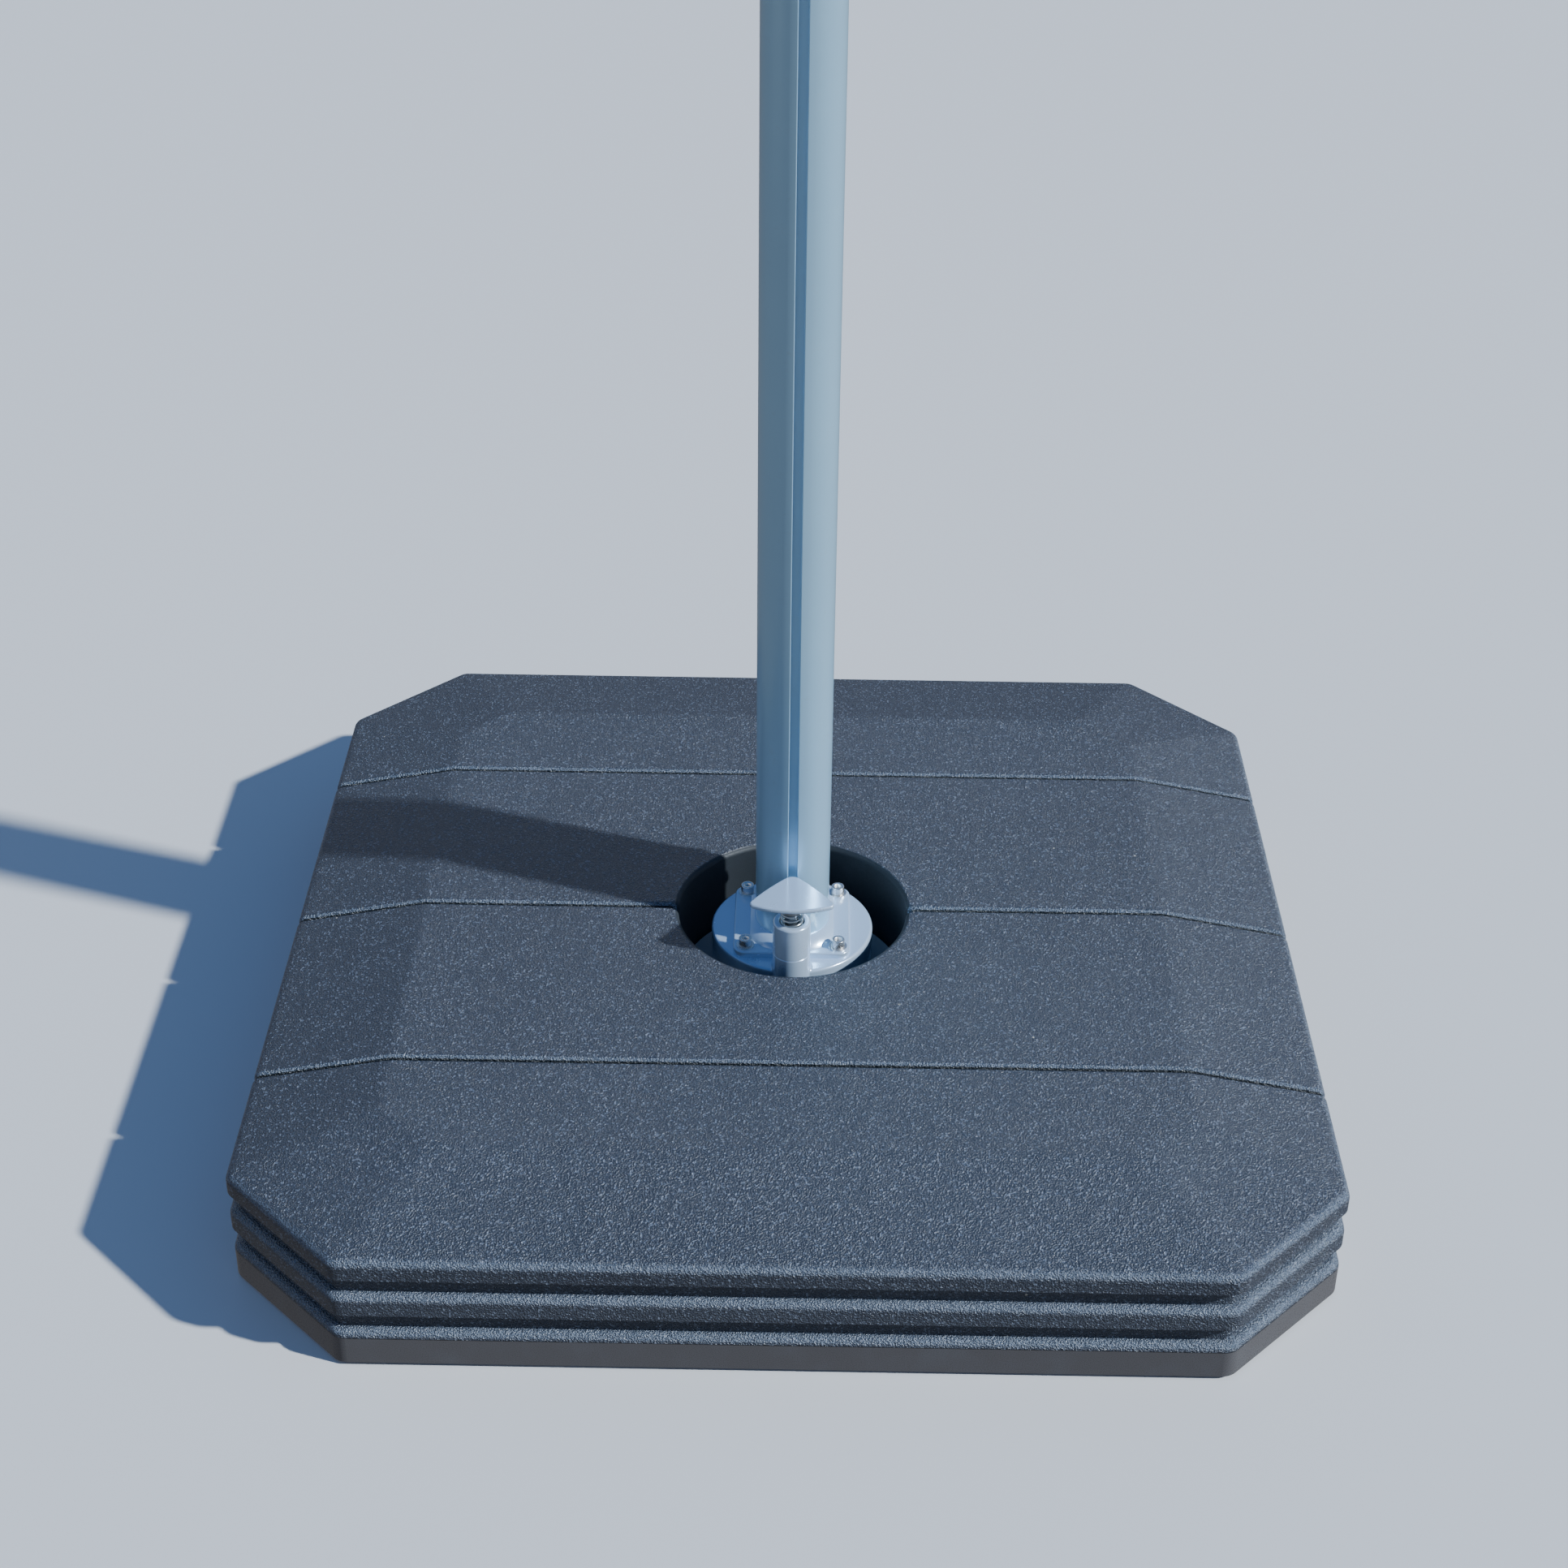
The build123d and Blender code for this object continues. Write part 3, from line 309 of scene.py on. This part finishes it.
def finishSlab(settings):
    finish = Finish("slabPlastic", IOR=1.5, Specular_IOR_Level=0.85)
    x, y, z = (finish.axis(name) for name in "XYZ")
    fromAxis = (x * x + y * y) ** 0.5
    band = finish.step(z, settings["smoothBelow"] - 0.0006, settings["smoothBelow"])
    well = finish.step(fromAxis, settings["wellRadius"], settings["wellRadius"] + 0.002)
    grainy = band * well
    pebbles = finish.cells(settings["grainScale"], feature="SMOOTH_F1", soft=0.35)
    fine = finish.noise(settings["grainScale"] * 1.9, 2.0, 0.6)
    grain = (pebbles * 0.75 + fine * 0.5) * grainy
    broad = finish.noise(2.2, 2.0, 0.5)
    tone = finish.mix(finish.step(broad, 0.3, 0.7), settings["dark"], settings["light"])
    # Inside the well the surface takes the painted shade colour; the lowest band takes the foot
    # colour
    tone = finish.mix(well, settings["hollow"], finish.mix(band, settings["foot"], tone))
    # Lighter pebble tops are painted highlight, in the dust colour
    litTips = finish.step(pebbles + fine * 0.3, 0.55, 0.80) * grainy
    tone = finish.mix(litTips * settings["litTipShare"], tone, settings["dust"])
    # Sparse pebbles take the glint colour: painted glints
    pick = finish.node("ShaderNodeSeparateColor", {}, {
        0: finish.cells(settings["grainScale"], "Color")}, 0)
    tone = finish.mix((pick > 0.92) * grainy * settings["glintShare"], tone, settings["glint"])
    low = finish.step(z, settings["dustyFrom"], settings["dustyFull"]) * grainy
    tone = finish.mix(low * settings["lowDustShare"], tone, settings["dust"])
    # Pale flecks along each ridge shoulder: wear and painted highlight, in the edge colour
    for height in settings["shoulders"]:
        away = (z - height).by("ABSOLUTE", 0)
        worn = finish.step(away, settings["wearAndHighlightOuter"], settings["wearAndHighlightInner"]) * well
        wornAndLitFlecks = worn * finish.step(fine, 0.40, 0.58) * settings["wearAndHighlightShare"]
        tone = finish.mix(wornAndLitFlecks, tone, settings["edge"])
    # Beside each seam, on the rear slab's rounding only: a strip of painted shade with pale flecks of
    # scuffing and painted highlight
    half = settings["seamPitch"] / 2
    inner = (y * y) < (settings["seamPitch"] * 1.5) ** 2
    beside = (y - settings["seamEdge"] * 1.15).by("PINGPONG", half) < settings["seamEdge"] * 0.65
    tone = finish.mix(beside * inner * settings["seamShadeShare"], tone, settings["hollow"])
    scuffsAndHighlight = beside * inner * finish.step(fine, 0.44, 0.58) * settings["scuffAndHighlightShare"]
    tone = finish.mix(scuffsAndHighlight, tone, settings["edge"])
    # In and at each seam gap the colour is painted shade
    between = y.by("PINGPONG", half) < settings["seamEdge"] * 0.85
    tone = finish.mix(between * inner, tone, settings["hollow"])
    patches = finish.noise(26.0, 4.0, 0.62)
    dusty = (finish.step(patches, 0.58, 0.78) * 0.05
             + (1 - band) * finish.step(patches, 0.42, 0.7) * 0.08)
    speckCell = finish.cells(48.0, "Color")
    speckPick = finish.node("ShaderNodeSeparateColor", {}, {0: speckCell}, 0)
    speck = (finish.cells(48.0) < 0.055) * (speckPick > 0.95)
    tone = finish.mix(dusty, tone, settings["dust"])
    tone = finish.mix(speck * 0.8, tone, settings["speck"])
    finish.set("Base Color", tone)
    rough = finish.step(fine, 0.3, 0.7)
    finish.set("Roughness", settings["roughLow"]
               + (settings["roughHigh"] - settings["roughLow"]) * rough + speck * 0.3
               + (1 - well) * 0.35)
    waves = finish.bump(finish.noise(7.0, 1.0, 0.4), 0.0022, 0.5)
    finish.set("Normal", finish.bump(grain, settings["grainDepth"], 0.9, waves))
    return finish.material


# Satin powder coat on the mast
mastPaint = {
    "colour": (0.46, 0.75, 0.97),
    "shade": (0.44, 0.72, 0.94),
    "metal": 0.45,
    "rough": 0.28,
    "peelScale": 900.0,
}

# Glossier powder coat on the castings of the hub
hubPaint = {
    "colour": (0.60, 0.76, 0.95),
    "shade": (0.57, 0.73, 0.92),
    "metal": 0.35,
    "rough": 0.20,
    "peelScale": 420.0,
}

# Duller grey paint on the cross foot
footPaint = {
    "colour": (0.42, 0.46, 0.50),
    "shade": (0.34, 0.37, 0.40),
    "metal": 0.0,
    "rough": 0.42,
    "peelScale": 500.0,
}


def finishPaint(name, settings):
    finish = Finish(name, IOR=1.5, Metallic=settings["metal"], Coat_Weight=0.4, Coat_Roughness=0.08)
    broad = finish.noise(5.0, 3.0, 0.5)
    dust = finish.noise(60.0, 5.0, 0.65)
    tone = finish.mix(finish.step(broad, 0.35, 0.65), settings["shade"], settings["colour"])
    tone = finish.mix(finish.step(dust, 0.58, 0.78) * 0.12, tone, (0.42, 0.41, 0.39))
    finish.set("Base Color", tone)
    finish.set("Roughness", settings["rough"] + finish.step(dust, 0.5, 0.8) * 0.14)
    peel = finish.noise(settings["peelScale"], 2.0, 0.5)
    finish.set("Normal", finish.bump(peel, 0.00012, 0.35))
    return finish.material


# Bare metals: base colour, roughness, and how strongly turning or drawing marks show
metals = {
    "stainless": {"colour": (0.80, 0.79, 0.77), "rough": 0.20, "marks": 0.10},
    "zincSteel": {"colour": (0.56, 0.57, 0.57), "rough": 0.34, "marks": 0.22},
    "groundSteel": {"colour": (0.50, 0.50, 0.50), "rough": 0.26, "marks": 0.30},
    "springSteel": {"colour": (0.66, 0.68, 0.66), "rough": 0.18, "marks": 0.08},
    "stemSteel": {"colour": (0.34, 0.37, 0.40), "rough": 0.30, "marks": 0.18},
    "bronze": {"colour": (0.60, 0.42, 0.20), "rough": 0.32, "marks": 0.20},
}


def finishMetal(name):
    settings = metals[name]
    finish = Finish(name, Metallic=0.9)
    broad = finish.noise(90.0, 4.0, 0.6)
    rings = finish.node("ShaderNodeTexWave", {"bands_direction": "Z"}, {
        "Vector": finish.place, "Scale": 700.0, "Distortion": 3.0, "Detail": 2.0}, 1)
    dull = tuple(c * 0.72 for c in settings["colour"])
    finish.set("Base Color", finish.mix(finish.step(broad, 0.45, 0.75) * 0.6,
                                        settings["colour"], dull))
    finish.set("Roughness", settings["rough"] + broad * settings["marks"])
    finish.set("Normal", finish.bump(rings, 0.00003, settings["marks"]))
    return finish.material


# Plain plastics and rubbers: colour, roughness, grain size and depth
softs = {
    "plugPlastic": {"colour": (0.022, 0.022, 0.024), "rough": 0.45, "scale": 600.0, "depth": 0.0001},
    "linerPlastic": {"colour": (0.045, 0.046, 0.05), "rough": 0.40, "scale": 700.0, "depth": 0.0001},
    "rubber": {"colour": (0.018, 0.018, 0.018), "rough": 0.75, "scale": 350.0, "depth": 0.0002},
    "frictionLining": {"colour": (0.09, 0.075, 0.06), "rough": 0.85, "scale": 500.0, "depth": 0.0003},
    "ballast": {"colour": (0.40, 0.39, 0.37), "rough": 0.90, "scale": 160.0, "depth": 0.0008},
}


def finishSoft(name):
    settings = softs[name]
    finish = Finish(name)
    grain = finish.noise(settings["scale"], 3.0, 0.6)
    worn = finish.noise(40.0, 4.0, 0.6)
    grey = tuple(c * 0.6 + 0.10 for c in settings["colour"])
    finish.set("Base Color", finish.mix(finish.step(worn, 0.5, 0.8) * 0.25,
                                        settings["colour"], grey))
    finish.set("Roughness", settings["rough"] + grain * 0.1)
    finish.set("Normal", finish.bump(grain, settings["depth"], 0.6))
    return finish.material


finishes = {
    "slab_plastic": finishSlab(slabPlastic),
    "mast_paint": finishPaint("mastPaint", mastPaint),
    "hub_paint": finishPaint("hubPaint", hubPaint),
    "foot_paint": finishPaint("footPaint", footPaint),
    "stainless": finishMetal("stainless"),
    "zinc_steel": finishMetal("zincSteel"),
    "ground_steel": finishMetal("groundSteel"),
    "spring_steel": finishMetal("springSteel"),
    "stem_steel": finishMetal("stemSteel"),
    "bronze": finishMetal("bronze"),
    "plug_plastic": finishSoft("plugPlastic"),
    "liner_plastic": finishSoft("linerPlastic"),
    "rubber": finishSoft("rubber"),
    "friction_lining": finishSoft("frictionLining"),
    "ballast": finishSoft("ballast"),
}
slotOf = {part["node"]: part["material_slot"] for part in frame["record"]["subparts"]}
for name, thing in frame["nodes"].items():
    thing.data.materials.clear()
    thing.data.materials.append(finishes[slotOf[name]])
print("finishes made:", len(finishes))


def addPiece(name, body, slotName, build, replaced=()):
    # Builds a mesh piece that rides on a body and takes the finish of a slot
    mesh = bpy.data.meshes.new(name)
    shape = bmesh.new()
    build(shape)
    bmesh.ops.recalc_face_normals(shape, faces=shape.faces)
    shape.to_mesh(mesh)
    shape.free()
    piece = bpy.data.objects.new(name, mesh)
    bpy.context.scene.collection.objects.link(piece)
    mesh.materials.append(finishes[slotName])
    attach(piece, body)
    if replaced:
        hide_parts(*replaced)
    return piece


def joinRings(shape, rings, closed=False):
    # Faces between rings of vertices, with a cap at each end unless the rings close on themselves
    pairs = list(zip(rings, rings[1:]))
    if closed:
        pairs.append((rings[-1], rings[0]))
    count = len(rings[0])
    for first, second in pairs:
        for k in range(count):
            n = (k + 1) % count
            face = shape.faces.new((first[k], first[n], second[n], second[k]))
            face.smooth = True
    if not closed:
        shape.faces.new(list(reversed(rings[0])))
        shape.faces.new(rings[-1])


# Pedal spring: open coils that flatten out at both ends
springSettings = {
    "wire": 0.00125,         # radius of the wire
    "turns": 7.8,
    "closedTurns": 0.3,      # at each end
    "stepsPerTurn": 40,
    "sides": 14,
}


def buildSpring(shape):
    low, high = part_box("pedal_spring")
    guideLow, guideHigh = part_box("stem_guide")
    centre = Vector(((guideLow.x + guideHigh.x) / 2, (guideLow.y + guideHigh.y) / 2, 0))
    wire = springSettings["wire"]
    radius = (high.x - low.x) / 2 - wire
    turns, closed = springSettings["turns"], springSettings["closedTurns"]
    bottom, top = low.z + wire, high.z - wire
    rise = 2 * wire * 1.04                       # of one closed coil
    openRise = (top - bottom - 2 * closed * rise) / (turns - 2 * closed)

    def height(turn):
        if turn < closed:
            return bottom + turn * rise
        if turn > turns - closed:
            return top - (turns - turn) * rise
        return bottom + closed * rise + (turn - closed) * openRise

    steps = int(turns * springSettings["stepsPerTurn"])
    rings = []
    for i in range(steps + 1):
        turn = turns * i / steps
        angle = 2 * math.pi * turn
        out = Vector((math.cos(angle), math.sin(angle), 0))
        middle = centre + out * radius + Vector((0, 0, height(turn)))
        ring = []
        for k in range(springSettings["sides"]):
            a = 2 * math.pi * k / springSettings["sides"]
            offset = out * math.cos(a) + Vector((0, 0, 1)) * math.sin(a)
            ring.append(shape.verts.new(middle + offset * wire))
        rings.append(ring)
    joinRings(shape, rings)


spring = addPiece("pedalSpring", "turntable", "spring_steel", buildSpring, ["pedal_spring"])
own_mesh(spring)
print("spring wound")


# Flange screws: knurled heads with a hexagon socket
screwSettings = {
    "head": 0.0065,          # radius
    "shank": 0.0040,         # radius
    "knurls": 44,
    "knurlDepth": 0.00016,
    "edge": 0.0008,          # rounded edge of the head
    "socket": 0.0030,        # half the width across the flats
    "socketDepth": 0.0042,
    "socketBevel": 0.0004,
}


def buildScrewHead(shape, centre, bottom, top, radius, shank, shankBottom):
    sides = screwSettings["knurls"] * 4
    edge = screwSettings["edge"]

    def ring(height, size, knurled=0.0):
        made = []
        for k in range(sides):
            a = 2 * math.pi * k / sides
            r = size - knurled * (0.5 - 0.5 * math.cos(a * screwSettings["knurls"]))
            made.append(shape.verts.new(centre + Vector((r * math.cos(a), r * math.sin(a), height))))
        return made

    def hexRing(height, flats):
        made = []
        for k in range(sides):
            a = 2 * math.pi * k / sides
            inSector = (a + math.pi / 6) % (math.pi / 3) - math.pi / 6
            r = flats / math.cos(inSector)
            made.append(shape.verts.new(centre + Vector((r * math.cos(a), r * math.sin(a), height))))
        return made

    depth = screwSettings["knurlDepth"]
    rings = [ring(shankBottom, shank * 0.8), ring(shankBottom + shank * 0.2, shank),
             ring(bottom, shank), ring(bottom, radius - 0.0003), ring(bottom + 0.0003, radius),
             ring(bottom + 0.0009, radius), ring(bottom + 0.0011, radius, depth),
             ring(top - edge - 0.0005, radius, depth), ring(top - edge - 0.0002, radius)]
    for k in range(5):
        a = math.pi / 2 * k / 4
        rings.append(ring(top - edge + edge * math.sin(a), radius - edge + edge * math.cos(a)))
    rings.append(ring(top, screwSettings["socket"] / math.cos(math.pi / 6)
                      + screwSettings["socketBevel"]))
    rings.append(hexRing(top - screwSettings["socketBevel"], screwSettings["socket"]))
    rings.append(hexRing(top - screwSettings["socketDepth"], screwSettings["socket"]))
    rings.append(hexRing(top - screwSettings["socketDepth"] - 0.0012, 0.0002))
    joinRings(shape, rings)


def buildFlangeScrews(shape):
    low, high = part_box("flange_screws")
    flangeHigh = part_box("flange_washers")[1]
    radius = screwSettings["head"]
    spread = high.x - radius
    for sx in (-1, 1):
        for sy in (-1, 1):
            buildScrewHead(shape, Vector((sx * spread, sy * spread, 0)), flangeHigh.z, high.z,
                           radius, screwSettings["shank"], low.z)


addPiece("flangeScrews", "turntable", "stainless", buildFlangeScrews, ["flange_screws"])
print("screws turned")


# Pale studio floor, level with the ground pads
floorSettings = {"size": 240.0, "colour": (0.80, 0.80, 0.80), "rough": 0.75}


def makeFloor(settings):
    half = settings["size"] / 2
    mesh = bpy.data.meshes.new("floor")
    corners = [(-half, -half, 0), (half, -half, 0), (half, half, 0), (-half, half, 0)]
    mesh.from_pydata(corners, [], [(0, 1, 2, 3)])
    floor = bpy.data.objects.new("floor", mesh)
    floor.location.z = cadLow.z
    bpy.context.scene.collection.objects.link(floor)
    finish = Finish("floorPaint", Roughness=settings["rough"])
    finish.set("Base Color", finish.mix(finish.noise(2.0, 2.0) * 0.1, settings["colour"],
                                        tuple(c * 0.97 for c in settings["colour"])))
    mesh.materials.append(finish.material)
    floor.visible_diffuse = False     # the ground's share of the light comes from the dome
    floor.visible_glossy = False


makeFloor(floorSettings)
print("floor laid")
